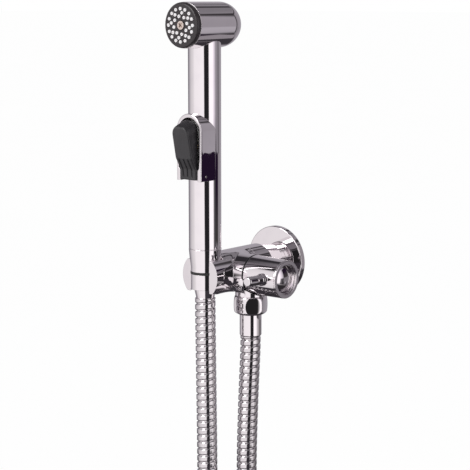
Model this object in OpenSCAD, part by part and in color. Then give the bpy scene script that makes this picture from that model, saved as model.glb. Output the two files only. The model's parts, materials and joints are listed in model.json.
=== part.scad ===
// Handheld bidet shower on a wall stop valve with holder, in millimetres.
// The wall is the plane y = 0, the room is at -y, z is up and the knob points along +x.
// The origin is on the inlet axis at the wall.

/* [Head] */
// diameter of the chromed head shell
head_d = 34; // [30:0.5:42]
// length from the face to the back of the dome
head_len = 58.4; // [52:0.2:72]
// how far the black face plate stands out of the shell
face_t = 4; // [3:0.2:6]
// diameter of the outer ring of nozzles
nozzle_ring_d = 24; // [21:0.5:26]
// diameter of one nozzle tip
nozzle_d = 2.7; // [2:0.1:3]
// diameter of the screw in the middle of the face
screw_d = 7.2; // [6:0.1:8.5]

/* [Handle] */
// diameter of the handle tube
handle_d = 24.8; // [23:0.2:28]
// wall thickness of the handle tube
handle_wall = 2; // [1.2:0.1:2.4]
// height of the head axis above the joint of tube and collar
head_rise = 168; // [150:1:220]
// height of the collar joint above the holder axis
collar_top = 21.6; // [20:0.2:26]
// diameter of the collar's lower part and of the conical nut
collar_d = 22.4; // [21.6:0.1:22.8]
// height of the black ring's top above the holder axis
ring_top = 3.6; // [2.5:0.1:5]
// thickness of the black ring
ring_t = 1.9; // [1.2:0.1:2.5]

/* [Trigger] */
// height of the housing's bottom above the collar joint
housing_rise = 52.9; // [40:0.5:70]
// height of the arched housing
housing_h = 50.2; // [46:0.2:60]
// distance from the handle axis to the housing's front
housing_out = 18; // [16.5:0.5:22]
// width of the trigger paddle
lever_w = 16.3; // [14:0.1:17]
// how far the paddle's top stands out of the housing
lever_out = 10.4; // [7:0.2:13]
// diameter of the pivot pin
pin_d = 2.2; // [1.8:0.1:2.6]

/* [Hose] */
// outer diameter of the metal hose
hose_d = 15.8; // [13:0.1:16]
// width of the hexagon nut across flats
nut_af = 23.8; // [23:0.1:26]
// height of the hexagon nut
nut_h = 14.4; // [12:0.2:18]
// diameter of the ferrule below the hexagon nut
ferrule_d = 17; // [16.4:0.1:18]
// visible length of the ferrule
ferrule_len = 17.3; // [12:0.1:24]

/* [Stop valve] */
// distance of the handset axis from the wall
handset_out = 88; // [82:1:110]
// diameter of the horizontal valve body
body_d = 32.8; // [31:0.2:36]
// length of the neck between wall flange and valve body
neck_len = 5.7; // [5:0.1:12]
// width of the holder's two ears
holder_w = 35.4; // [33:0.2:40]
// height of the flat-topped holder
holder_h = 24.8; // [22:0.2:28]
// distance from the handset axis back to the knob axis
knob_back = 27.4; // [26.4:0.2:32]
// diameter of the barrel that carries the knob
barrel_d = 30.2; // [29:0.2:31]
// distance from the body axis to the barrel's end
barrel_reach = 26.2; // [25:0.2:30]
// length of the knob
knob_len = 31; // [28:0.5:40]
// how much narrower the knob's outer end is than the barrel
knob_taper = 1.3; // [0.4:0.1:3]
// diameter of the peg on the knob
peg_d = 7.6; // [6:0.1:8.5]
// length of the peg beyond the knob
peg_len = 17.4; // [14:0.2:26]
// distance of the outlet axis from the body axis
outlet_x = 22.4; // [21.5:0.1:23]
// diameter of the wall flange
flange_d = 55.2; // [50:0.2:70]
// thickness of the wall flange
flange_t = 4.5; // [3:0.1:7]
// length of the inlet thread behind the wall plane
inlet_len = 12; // [10:0.5:18]

/* [Fits] */
// clearance between parts that are fitted together
fit = 0.05; // [0.03:0.01:0.08]
// radial clearance of parts that turn or slide
run = 0.06; // [0.03:0.01:0.09]
// gap between the knob and the black ring next to it
knob_gap = 0.35; // [0.3:0.05:0.5]

/* [Hidden] */
$fn = 72;

// pitch radius of the half-inch pipe threads on the hose side
thread_r = 9.9;
// major radius of the half-inch inlet thread
inlet_r = 10.48;

head_r = head_d / 2;
knob_end_d = barrel_d - knob_taper;
handle_r = handle_d / 2;
bore_r = handle_r - handle_wall;
// scale of the valve parts inside the handle
in_k = handle_d / 24.8;
collar_r = collar_d / 2;
hy = -handset_out;
head_z = collar_top + head_rise;
head_front = hy - 25.6;
shell_front = head_front + face_t;
dome_y = head_front + head_len - head_r;
head_wall = 2.2;
seal_r = head_r - head_wall / 2;
collar_slope = (handle_r - collar_r) / 15;
cone_z = collar_top - 15;
stub_z = ring_top - 8.6;
nut_z = ring_top - ring_t;
cone_nut_z = nut_z - 11.8;
cone_tip_z = cone_nut_z - 7.6;

// trigger heights
hz0 = collar_top + housing_rise;
hz1 = hz0 + housing_h;
house_r = handle_r - 0.15;
house_y = hy - housing_out;
arch_z = hz1 - house_r;
pin_z = hz0 + 3.2;
pin_y = hy - handle_r + 0.2;
lever_hw = lever_w / 2;
lever_y = house_y - lever_out;
slot_hw = lever_hw + 2;
foot_hw = lever_hw + 0.5;
slot_r = slot_hw;
slot_top = hz1 - 3.1;
flat_y = hy - 8.9 * in_k;
window_top = slot_top - 1.4;
plunger_z = hz0 + housing_h * 0.508;
back_y = house_y + 1.5;
head_t = 1.6;
stem_r = 2 * in_k;
foot_z = hz0 + housing_h * 0.16;
step_z = hz0 + housing_h * 0.171;
insert_r = bore_r - fit;
insert_z0 = hz0 - 2.6;
insert_z1 = hz1 - 0.6;

// valve sizes
body_r = body_d / 2;
barrel_r = barrel_d / 2;
ky = hy + knob_back;
neck_r = 12;
body_y1 = -flange_t - neck_len;
body_end_r = body_r - 2.1;
fork_y0 = hy - 6.1;
fork_y1 = hy + handle_r + 1.1;
seat_r = collar_r + 0.2;
knob_x0 = barrel_reach + 0.6 + knob_gap;
knob_x1 = knob_x0 + knob_len;
knob_r = barrel_r;
web_x = knob_x1 - 15;
recess_r = knob_end_d / 2 - 3.9;
cap_x = knob_x1 - 5.6;
cart_r = 9.8;
outlet_z = -barrel_r - 1.6;
nut_top = outlet_z;
nut_bot = nut_top - nut_h;
nut_step_z = nut_bot + 2.2;
outlet_stub_z = nut_step_z + 3.4;
ferrule_z = nut_bot - ferrule_len;
peg_x = knob_x1 - 11.95;
peg_up = 2.7;

// hose route as distance towards the handset from the middle plane and height
hose_mid = [outlet_x / 2, (hy + ky) / 2];
hose_half = norm([outlet_x, ky - hy]) / 2;
hose_dir = [-outlet_x, hy - ky] / (2 * hose_half);
route = [[hose_half, cone_tip_z], [hose_half, cone_tip_z - 12], [17.4, -60], [17, -100], [16.6, -150], [17, -200],
    [24, -251], [40, -302], [56.5, -353], [64, -404], [59.1, -428.5], [45.3, -449.3], [24.5, -463.1], [0, -468],
    [-24.5, -463.1], [-45.3, -449.3], [-59.1, -428.5], [-64, -404], [-56.5, -353], [-40, -302], [-23, -251],
    [-15.4, -200], [-14.8, -150], [-16, -100], [-hose_half + 0.2, ferrule_z - 14], [-hose_half, ferrule_z]];

function place(q) = [hose_mid[0] + q[0] * hose_dir[0], hose_mid[1] + q[0] * hose_dir[1], q[1]];
function pick(i) = route[max(0, min(len(route) - 1, i))];
function spline(i, t) = 0.5 * (2 * pick(i) + (pick(i + 1) - pick(i - 1)) * t
    + (2 * pick(i - 1) - 5 * pick(i) + 4 * pick(i + 1) - pick(i + 2)) * t * t
    + (3 * pick(i) - pick(i - 1) - 3 * pick(i + 1) + pick(i + 2)) * t * t * t);

module along_y(y0, y1, r1, r2 = -1) {
    translate([0, y0, 0]) rotate([-90, 0, 0]) cylinder(h = y1 - y0, r1 = r1, r2 = r2 < 0 ? r1 : r2);
}

module along_x(x0, x1, r1, r2 = -1) {
    translate([x0, 0, 0]) rotate([0, 90, 0]) cylinder(h = x1 - x0, r1 = r1, r2 = r2 < 0 ? r1 : r2);
}

module up(z0, z1, r1, r2 = -1) {
    translate([0, 0, z0]) cylinder(h = z1 - z0, r1 = r1, r2 = r2 < 0 ? r1 : r2);
}

module box(x0, x1, y0, y1, z0, z1) {
    translate([x0, y0, z0]) cube([x1 - x0, y1 - y0, z1 - z0]);
}

module at_head() translate([0, 0, head_z]) children();

module at_handle() translate([0, hy, 0]) children();

module at_knob() translate([0, ky, 0]) children();

module at_outlet() translate([outlet_x, ky, 0]) children();

// nozzle places: outer ring of 16, middle ring of 8 and inner ring of 8
module nozzle_places() {
    for (k = [0:15]) rotate([0, 22.5 * k, 0]) translate([nozzle_ring_d / 2, 0, 0]) children();
    for (k = [0:7]) rotate([0, 45 * k + 10, 0]) translate([nozzle_ring_d * 0.38, 0, 0]) children();
    for (k = [0:7]) rotate([0, 45 * k - 12, 0]) translate([nozzle_ring_d * 0.275, 0, 0]) children();
}

module head_shell() {
    color("silver") difference() {
        at_head() union() {
            difference() {
                union() {
                    along_y(shell_front, dome_y, head_r);
                    translate([0, dome_y, 0]) sphere(r = head_r);
                }
                along_y(shell_front - 1, dome_y, head_r - head_wall);
                translate([0, dome_y, 0]) sphere(r = head_r - head_wall);
            }
            along_y(shell_front + 4, dome_y + head_r - 1, 4);
            translate([0, hy, -head_r - 6]) cylinder(h = 8, r = bore_r - fit);
        }
        at_head() along_y(shell_front, shell_front + 16, 1.7);
        at_head() translate([0, hy, -head_r - 7]) cylinder(h = 7 + head_wall + 2, r = bore_r - 2.2);
    }
}

module face_outline(r, t, f) {
    square([r - f, t]);
    square([r, t - f]);
    translate([r - f, t - f]) circle(r = f);
}

module spray_face() {
    plate_r = head_r - 0.3;
    color("#222") at_head() difference() {
        union() {
            translate([0, shell_front, 0]) rotate([90, 0, 0]) rotate_extrude() face_outline(plate_r, face_t, 1.8);
            along_y(shell_front, shell_front + 4, head_r - head_wall - 0.2);
        }
        along_y(head_front + 1.6, shell_front + 5, nozzle_ring_d / 2 + nozzle_d / 2 + 0.7);
        nozzle_places() along_y(head_front - 1, shell_front, nozzle_d / 2 + fit);
        along_y(head_front - 1, shell_front, screw_d / 2 + 0.1);
        difference() {
            along_y(shell_front - 1, shell_front + 0.1, seal_r + 0.56);
            along_y(shell_front - 2, shell_front + 1, seal_r - 0.56);
        }
    }
}

module nozzle_mat() {
    mat_r = nozzle_ring_d / 2 + nozzle_d / 2 + 0.6;
    color("white") at_head() difference() {
        union() {
            along_y(head_front + 1.6, head_front + 3, mat_r);
            nozzle_places() along_y(head_front - 0.7, head_front + 1.7, nozzle_d / 2 - 0.15, nozzle_d / 2);
        }
        along_y(head_front, head_front + 4, screw_d / 2 + 0.1);
        nozzle_places() translate([0, head_front - 1, 0]) rotate([-90, 0, 0])
            cylinder(h = 5, r = 0.35, $fn = 16);
    }
}

module face_screw() {
    color("#cbb") at_head() difference() {
        union() {
            along_y(head_front - 0.5, head_front + 1.5, screw_d / 2 - 0.4, screw_d / 2);
            along_y(head_front + 1.5, shell_front + 3.9, screw_d / 2);
            along_y(shell_front + 3.9, shell_front + 14, 1.65);
        }
        for (a = [45, 135]) rotate([0, a, 0]) box(-2, 2, head_front - 1, head_front + 1.1, -0.55, 0.55);
    }
}

module face_seal() {
    color("#111") at_head() translate([0, shell_front - 0.5, 0]) rotate([90, 0, 0]) rotate_extrude()
        translate([seal_r, 0]) circle(r = 0.48, $fn = 24);
}

module handle_tube() {
    color("silver") difference() {
        at_handle() up(collar_top, head_z, handle_r);
        at_handle() up(collar_top - 1, head_z + 1, bore_r);
        at_head() along_y(shell_front - 5, dome_y + head_r, head_r);
        box(-8.5, 8.5, hy - handle_r - 1, flat_y, hz0 + 0.1, window_top);
    }
}

module handle_collar() {
    color("silver") at_handle() difference() {
        union() {
            up(cone_z, collar_top - 0.6, collar_r, handle_r + 0.1);
            up(collar_top - 0.6, collar_top - 0.15, handle_r + 0.1);
            up(collar_top - 0.15, collar_top, handle_r + 0.1, handle_r);
            up(ring_top, cone_z, collar_r);
            up(stub_z, ring_top, thread_r);
            up(collar_top - 1, collar_top + 9, bore_r - fit);
        }
        up(stub_z - 1, collar_top + 10, 6);
    }
}

module collar_ring() {
    color("#111") at_handle() difference() {
        up(nut_z, ring_top, collar_r + 0.1);
        up(nut_z - 1, ring_top + 1, thread_r + fit);
    }
}

module arch(r, zc, z0, y0, y1) {
    translate([0, 0, zc]) along_y(y0, y1, r);
    box(-r, r, y0, y1, z0, zc);
}

module trigger_housing() {
    color("silver") difference() {
        union() {
            arch(house_r, arch_z, hz0, house_y + 0.8, hy - 0.8);
            arch(house_r - 0.4, arch_z, hz0, house_y + 0.3, house_y + 1);
            arch(house_r - 1, arch_z, hz0, house_y, house_y + 0.5);
        }
        at_handle() up(hz0 - 1, hz1 + 1, handle_r);
        arch(slot_r, slot_top - slot_r, foot_z + 1.5, house_y - 1, hy);
        box(-foot_hw, foot_hw, house_y - 1, hy, hz0 - 1, foot_z + 2);
        translate([0, hy, 0]) rotate([90, 0, 0]) linear_extrude(housing_out + 1)
            polygon([[-foot_hw, foot_z], [foot_hw, foot_z], [slot_hw, foot_z + 2], [-slot_hw, foot_z + 2]]);
        translate([0, pin_y, pin_z]) along_x(-handle_r - 1, handle_r + 1, pin_d / 2 + fit / 2);
    }
}

module lever_side() {
    polygon([[house_y - 0.9, hz0 + 0.8], [pin_y - 2.2, hz0 + 0.8], [pin_y + 2.6, hz0 + 1.6], [pin_y + 2.6, pin_z + 2.2],
        [back_y + 1.4, pin_z + 6], [back_y, pin_z + 12], [back_y, slot_top - 4.2], [back_y - 2.2, slot_top - 1.3],
        [lever_y + 2.2, hz1 - 8], [lever_y + 0.6, hz1 - 9], [lever_y, hz1 - 10.8], [lever_y + 0.3, hz1 - 13.2],
        [lever_y + 4.1, hz0 + housing_h * 0.35], [house_y - 1.4, step_z]]);
}

module trigger_lever() {
    tilt = 19;
    top_z = hz1 - 16.3;
    color("#252527") difference() {
        intersection() {
            translate([-lever_hw, 0, 0]) rotate([90, 0, 90]) linear_extrude(lever_w) lever_side();
            union() {
                translate([0, lever_y, top_z]) rotate([tilt, 0, 0]) along_y(-lever_out, lever_out * 3, lever_hw);
                box(-lever_hw, lever_hw, lever_y - 5, hy, hz0, top_z + 2.3);
            }
        }
        translate([0, pin_y, pin_z]) along_x(-lever_hw - 1, lever_hw + 1, pin_d / 2 + run);
        for (x = [-0.27, 0, 0.27]) translate([x * lever_w, house_y - 1.4, step_z]) rotate([29, 0, 0])
            box(-0.6, 0.6, -1.2, 0.7, -housing_h * 0.14, housing_h * 0.19);
    }
}

module trigger_pin() {
    color("#999") translate([0, pin_y, pin_z]) along_x(-house_r + 0.05, house_r - 0.05, pin_d / 2);
}

module valve_insert() {
    color("#ddd") difference() {
        at_handle() up(insert_z0, insert_z1, insert_r);
        box(-handle_d, handle_d, hy - handle_d, flat_y, insert_z0 - 1, insert_z1 + 1);
        translate([0, 0, plunger_z]) {
            along_y(flat_y - 1, hy - 3 * in_k, stem_r + run);
            along_y(flat_y + 2 * in_k, flat_y + 4.2 * in_k, 3.4 * in_k);
            along_y(hy - 4 * in_k, hy, 4.2 * in_k);
            along_y(hy - in_k, hy + 2.1 * in_k, 2.9 * in_k);
            along_y(hy + 2 * in_k, hy + 8.4 * in_k, 5.2 * in_k);
        }
        translate([0, hy + 5.5 * in_k, 0]) up(insert_z0 - 1, plunger_z, 3 * in_k);
        translate([0, hy - 2 * in_k, 0]) up(plunger_z, insert_z1 + 1, 1.9 * in_k);
    }
}

module plunger() {
    color("#c9a227") translate([0, 0, plunger_z]) {
        along_y(back_y + 0.25, back_y + 0.25 + head_t * 0.6, 2, 4.1);
        along_y(back_y + 0.25 + head_t * 0.6, back_y + 0.25 + head_t, 4.1);
        along_y(back_y + 0.25 + head_t, hy + 2.05 * in_k, stem_r);
        along_y(hy + 2 * in_k, hy + 4.6 * in_k, 1.3 * in_k);
        along_y(hy + 4.2 * in_k, hy + 4.8 * in_k, 2.2 * in_k);
    }
}

module plunger_disc() {
    color("#111") translate([0, 0, plunger_z]) difference() {
        along_y(hy + 2.12 * in_k, hy + 4.15 * in_k, 3.8 * in_k);
        along_y(hy + 2 * in_k, hy + 4.3 * in_k, 1.3 * in_k + fit);
    }
}

module plunger_oring() {
    color("#111") translate([0, flat_y + 3.1 * in_k, plunger_z]) rotate([90, 0, 0]) rotate_extrude()
        translate([stem_r + run + 0.6 * in_k, 0]) circle(r = 0.6 * in_k, $fn = 24);
}

module plunger_spring() {
    y0 = back_y + 0.25 + head_t + 0.02;
    y1 = flat_y - 0.02;
    w = 0.25;
    r = 3.2;
    turns = 3;
    sides = 8;
    steps = 60;
    length = y1 - y0 - 2 * w;
    pts = [for (i = [0:steps]) let (a = 360 * turns * i / steps) for (j = [0:sides - 1]) let (b = 360 * j / sides)
        [(r + w * cos(b)) * cos(a), y0 + w + length * i / steps + w * sin(b), (r + w * cos(b)) * sin(a)]];
    faces = concat([[for (j = [0:sides - 1]) j]], [[for (j = [0:sides - 1]) steps * sides + sides - 1 - j]],
        [for (i = [0:steps - 1]) for (j = [0:sides - 1]) let (k = (j + 1) % sides)
            [i * sides + k, i * sides + j, (i + 1) * sides + j, (i + 1) * sides + k]]);
    color("#aaa") translate([0, 0, plunger_z]) polyhedron(pts, faces, convexity = 8);
}

module cone_nut() {
    color("silver") at_handle() difference() {
        union() {
            up(cone_nut_z, nut_z, collar_r);
            up(cone_tip_z, cone_nut_z, hose_d / 2 - 1, collar_r - 2.6);
        }
        up(stub_z - 2.2, nut_z + 1, thread_r + fit);
        up(cone_tip_z - 1, nut_z, 5);
    }
}

module hose_seal_top() {
    color("#222") at_handle() difference() {
        up(stub_z - 2.1, stub_z - 0.05, thread_r - 0.2);
        up(stub_z - 3, stub_z + 1, 5.4);
    }
}

module hose() {
    sides = 12;
    cuts = 3;
    n = (len(route) - 1) * cuts;
    mids = [for (i = [0:len(route) - 2]) for (t = [0:cuts - 1]) place(spline(i, t / cuts))];
    line = concat(mids, [place(route[len(route) - 1])]);
    side = [hose_dir[1], -hose_dir[0], 0];
    pts = [for (i = [0:n]) let (
            raw = i == 0 || i == n ? [0, 0, i == 0 ? -1 : 1] : line[i + 1] - line[i - 1],
            t = raw / norm(raw),
            v = cross(t, side))
        for (j = [0:sides - 1]) let (b = 360 * j / sides)
            line[i] + (side * cos(b) + v * sin(b)) * hose_d / 2];
    faces = concat([[for (j = [0:sides - 1]) j]], [[for (j = [0:sides - 1]) n * sides + sides - 1 - j]],
        [for (i = [0:n - 1]) for (j = [0:sides - 1]) let (k = (j + 1) % sides)
            [i * sides + k, i * sides + j, (i + 1) * sides + j, (i + 1) * sides + k]]);
    color("#bbb") polyhedron(pts, faces, convexity = 6);
}

module hex_nut() {
    mid = (nut_top + nut_bot) / 2;
    color("silver") at_outlet() difference() {
        intersection() {
            rotate([0, 0, -10.6]) up(nut_bot, nut_top, nut_af / sqrt(3), $fn = 6);
            intersection() {
                translate([0, 0, mid]) rotate_extrude() intersection() {
                    translate([-10, 0]) circle(r = 23.4, $fn = 120);
                    translate([0, -nut_h / 2]) square([20, nut_h]);
                }
                up(nut_bot, nut_top + 20, 10.2, 10.2 + (nut_h + 20) * 1.7);
            }
        }
        up(nut_bot - 1, nut_top + 1, ferrule_d / 2 - 0.4 + fit);
        up(nut_step_z, nut_top + 1, thread_r + fit);
    }
}

module hose_ferrule() {
    r = ferrule_d / 2;
    inner = hose_d / 2 - 1.2;
    top_z = outlet_stub_z - 2.1;
    color("silver") at_outlet() rotate_extrude() polygon([[inner, ferrule_z], [r - 0.6, ferrule_z], [r, ferrule_z + 0.8],
        [r, nut_bot - fit], [r - 0.4, nut_bot - fit], [r - 0.4, nut_step_z], [thread_r - 0.4, nut_step_z], [thread_r - 0.4, top_z],
        [5, top_z], [5, nut_bot - 2], [inner, nut_bot - 2]]);
}

module hose_seal_low() {
    color("#222") at_outlet() difference() {
        up(outlet_stub_z - 2.05, outlet_stub_z - 0.05, thread_r - 0.3);
        up(outlet_stub_z - 3, outlet_stub_z + 1, 5.4);
    }
}

module stop_body() {
    color("silver") difference() {
        union() {
            intersection() {
                along_y(fork_y0, body_y1 - 20, holder_w / 2);
                box(-holder_w, holder_w, fork_y0 - 1, fork_y1 + 1, -holder_h / 2, holder_h / 2);
            }
            along_y(fork_y1, body_y1 - 15.8, body_r);
            along_y(body_y1 - 15.8, body_y1 - 0.8, body_r, body_end_r);
            along_y(body_y1 - 0.8, body_y1, body_end_r, body_end_r - 0.8);
            along_y(body_y1 - 1, -1, neck_r);
            along_y(-1.5, inlet_len, inlet_r);
            at_knob() along_x(0, barrel_reach, barrel_r);
            difference() {
                at_outlet() union() {
                    up(outlet_z, outlet_z + 9, 12.2, 14.2);
                    up(outlet_stub_z, outlet_z + 4, thread_r);
                }
                at_knob() along_x(barrel_reach, barrel_reach + 20, knob_r + 0.5);
            }
        }
        at_handle() up(-holder_h / 2 - 1, cone_z, seat_r);
        at_handle() up(cone_z - 0.01, holder_h / 2 + 1, seat_r, seat_r + collar_slope * (holder_h / 2 + 1 - cone_z));
        box(-holder_w, holder_w, fork_y0 - 5, hy, holder_h / 2, holder_w);
        along_y(ky, inlet_len + 1, 7);
        translate([0, ky, 0]) sphere(r = 7);
        at_knob() along_x(0, 10, 5);
        at_knob() along_x(9, barrel_reach + 1, cart_r + fit);
        at_outlet() up(outlet_stub_z - 1, -5, 5.5);
    }
}

module wall_flange() {
    r = flange_d / 2;
    color("silver") difference() {
        rotate([90, 0, 0]) rotate_extrude() face_outline(r, flange_t, 1);
        along_y(-flange_t - 1, 1, neck_r + fit);
        along_y(-flange_t + 1.8, 1, r - 2);
    }
}

module cartridge() {
    color("#c9a227") at_knob() difference() {
        union() {
            along_x(10.6, barrel_reach, cart_r);
            along_x(barrel_reach, barrel_reach + 4, 9, $fn = 6);
            along_x(barrel_reach + 4, web_x - 11.5, 6.6);
        }
        along_x(10, barrel_reach - 1, 6.5);
        along_x(10, barrel_reach + 9, 4 + run);
        box(14.5, barrel_reach - 1.4, -4.6, 4.6, -cart_r - 1, 0);
    }
}

module disc_shape(x0, x1, r) {
    difference() {
        along_x(x0, x1, r);
        for (s = [-1, 1]) translate([0, 0, s * r * 0.55]) along_x(x0 - 1, x1 + 1, 2);
    }
}

module disc_fixed() {
    color("white") at_knob() disc_shape(10.7, 12.2, 6.5 - fit);
}

module disc_moving() {
    color("#eee") at_knob() rotate([90, 0, 0]) disc_shape(12.25, 13.7, 6.5 - run);
}

module spindle() {
    color("#c9a227") at_knob() difference() {
        union() {
            along_x(13.75, 14.4, 6.5 - run);
            along_x(14.4, web_x - 0.85, 4);
        }
        for (s = [-1, 1]) translate([0, s * 3.57, 0]) along_x(13, 14.5, 2);
        along_x(web_x - 9, web_x + 1, 1.5);
    }
}

module seat_seal() {
    color("#111") at_knob() difference() {
        along_x(9.05, 10.55, cart_r - 0.2);
        along_x(8, 12, 5.2);
    }
}

module knob_ring() {
    color("#111") at_knob() difference() {
        along_x(barrel_reach, barrel_reach + 0.6, knob_r - 0.6);
        along_x(barrel_reach - 1, barrel_reach + 1, 11);
    }
}

module knob() {
    end_r = knob_end_d / 2;
    color("silver") at_knob() difference() {
        union() {
            difference() {
                union() {
                    along_x(knob_x0, knob_x1 - 1.5, knob_r, end_r + 0.1);
                    along_x(knob_x1 - 1.5, knob_x1 - 0.9, end_r - 0.4);
                    along_x(knob_x1 - 0.9, knob_x1 - 0.3, end_r);
                    along_x(knob_x1 - 0.3, knob_x1, end_r, end_r - 0.3);
                }
                along_x(knob_x0 - 1, web_x - 3.4, end_r - 1.8);
            }
            along_x(web_x - 11, web_x - 3, 7);
        }
        along_x(knob_x0 - 2, web_x - 0.8, 4 + fit);
        along_x(web_x - 1, web_x + 3, 1.9);
        along_x(web_x + 1.6, knob_x1 + 1, recess_r);
        along_x(knob_x1 - 1.6, knob_x1 + 1, recess_r + 0.9);
        rotate([-peg_up, 0, 0]) translate([peg_x, 0, 0]) along_y(-knob_r - 2, -knob_r + 4.2, 2 + fit);
        rotate([-peg_up, 0, 0]) translate([peg_x, 0, 0]) along_y(-knob_r - 2, -knob_r + 1.15, 4.7 + fit);
        mark_prism(0.04, 0.55, 1);
    }
}

module mark_prism(grow, deep, rise) {
    r = knob_end_d / 2 + 0.1;
    translate([knob_x1 - 4.8, -r + deep, 1.6]) rotate([90, 0, 0]) linear_extrude(deep + rise)
        polygon([[-2 - grow, -1.5 - grow], [1.7 + 2 * grow, 0], [-2 - grow, 1.5 + grow]]);
}

module knob_mark() {
    color("#111") at_knob() mark_prism(0, 0.5, -0.2);
}

module knob_peg() {
    color("silver") at_knob() rotate([-peg_up, 0, 0]) translate([peg_x, 0, 0]) union() {
        along_y(-knob_r + 0.2, -knob_r + 4.1, 2);
        along_y(-knob_r - 1.4, -knob_r + 1.1, 4.7);
        along_y(-knob_r - 2.6, -knob_r - 1.4, 3.6, 4.7);
        along_y(-knob_r - peg_len + 1.2, -knob_r - 2, peg_d / 2);
        along_y(-knob_r - peg_len + 0.4, -knob_r - peg_len + 1.2, peg_d / 2 - 0.4, peg_d / 2);
        along_y(-knob_r - peg_len, -knob_r - peg_len + 0.4, peg_d / 2 - 1.2, peg_d / 2 - 0.4);
    }
}

module knob_cap() {
    dish = 22;
    color("silver") at_knob() difference() {
        along_x(cap_x, knob_x1 - 1.7, recess_r - fit);
        translate([cap_x + 0.9 + dish, 0, 0]) sphere(r = dish, $fn = 120);
        along_x(knob_x1 - 2.6, knob_x1, recess_r - 0.6);
    }
}

module knob_screw() {
    color("#999") at_knob() difference() {
        union() {
            along_x(web_x + 1.65, web_x + 4, 3.4);
            along_x(web_x - 8, web_x + 1.7, 1.45);
        }
        along_x(web_x + 2.4, web_x + 5, 1.6, $fn = 6);
    }
}

head_shell();
spray_face();
nozzle_mat();
face_screw();
face_seal();
handle_tube();
handle_collar();
collar_ring();
trigger_housing();
trigger_lever();
trigger_pin();
valve_insert();
plunger();
plunger_disc();
plunger_oring();
plunger_spring();
cone_nut();
hose_seal_top();
hose();
hose_ferrule();
hex_nut();
hose_seal_low();
stop_body();
wall_flange();
cartridge();
disc_fixed();
disc_moving();
spindle();
seat_seal();
knob_ring();
knob();
knob_peg();
knob_cap();
knob_screw();
knob_mark();
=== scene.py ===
"""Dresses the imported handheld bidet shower: chrome, black and white plastic, rubber, brass and a wound metal hose."""

import json
import math

import bmesh
import bpy
import numpy as np
from mathutils import Matrix, Vector


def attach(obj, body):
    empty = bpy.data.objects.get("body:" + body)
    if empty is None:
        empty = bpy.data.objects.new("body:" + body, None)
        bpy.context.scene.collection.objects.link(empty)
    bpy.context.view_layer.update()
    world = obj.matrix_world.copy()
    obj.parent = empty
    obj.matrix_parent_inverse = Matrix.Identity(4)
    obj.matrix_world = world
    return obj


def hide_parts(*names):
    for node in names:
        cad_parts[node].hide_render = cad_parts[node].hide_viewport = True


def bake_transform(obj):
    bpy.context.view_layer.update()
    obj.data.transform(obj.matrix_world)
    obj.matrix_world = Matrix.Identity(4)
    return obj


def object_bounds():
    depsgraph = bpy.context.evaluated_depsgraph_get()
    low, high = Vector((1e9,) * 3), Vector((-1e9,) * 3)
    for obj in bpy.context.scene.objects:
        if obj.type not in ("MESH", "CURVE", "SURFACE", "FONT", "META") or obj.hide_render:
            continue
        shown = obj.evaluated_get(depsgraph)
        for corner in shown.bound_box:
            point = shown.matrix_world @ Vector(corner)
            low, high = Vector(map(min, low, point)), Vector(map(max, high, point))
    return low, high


bl_info = {
    "name": "Handheld bidet shower",
    "version": (1, 0, 0),
    "blender": (4, 5, 0),
    "location": "View3D > Sidebar > Bidet shower",
    "description": "Builds the surfaces and finishes of a handheld bidet shower on its stop valve",
    "category": "Object",
}

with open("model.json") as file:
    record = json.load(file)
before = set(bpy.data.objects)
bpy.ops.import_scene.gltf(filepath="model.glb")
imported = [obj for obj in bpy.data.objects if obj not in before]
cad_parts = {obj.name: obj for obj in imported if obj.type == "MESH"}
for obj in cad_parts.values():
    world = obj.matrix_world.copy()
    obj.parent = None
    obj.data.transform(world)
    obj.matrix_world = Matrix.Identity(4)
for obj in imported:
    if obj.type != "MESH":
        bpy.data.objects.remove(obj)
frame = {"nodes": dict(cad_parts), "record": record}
cad_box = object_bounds()
nodes = frame["nodes"]
MM = 0.001

# Sizes of the source in millimetres
HANDSET_Y = -88.0
HEAD_Z = 189.6
HEAD_R = 17.0
SHELL_FRONT = -109.6
HEAD_FRONT = -113.6
DOME_Y = -72.2
HANDLE_R = 12.4
COLLAR_R = 11.2
COLLAR_TOP = 21.6
KNOB_Y = -60.6
PLUNGER_Z = 100.0016
BODY_R = 16.4
BARREL_R = 15.1
OUTLET_X = 22.4
HOSE_HALF = 17.695
HOSE_MIDDLE = (11.2, -74.3)
HOSE_DIRECTION = (-0.63294, -0.77420)
HOSE_ROUTE = np.array([
    (17.695, -17.7), (17.695, -29.7), (17.4, -60), (17, -100), (16.6, -150), (17, -200), (24, -251), (40, -302),
    (56.5, -353), (64, -404), (59.1, -428.5), (45.3, -449.3), (24.5, -463.1), (0, -468), (-24.5, -463.1),
    (-45.3, -449.3), (-59.1, -428.5), (-64, -404), (-56.5, -353), (-40, -302), (-23, -251), (-15.4, -200),
    (-14.8, -150), (-16, -100), (-17.495, -62.4), (-17.695, -48.4),
])


# Shader maths


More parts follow.
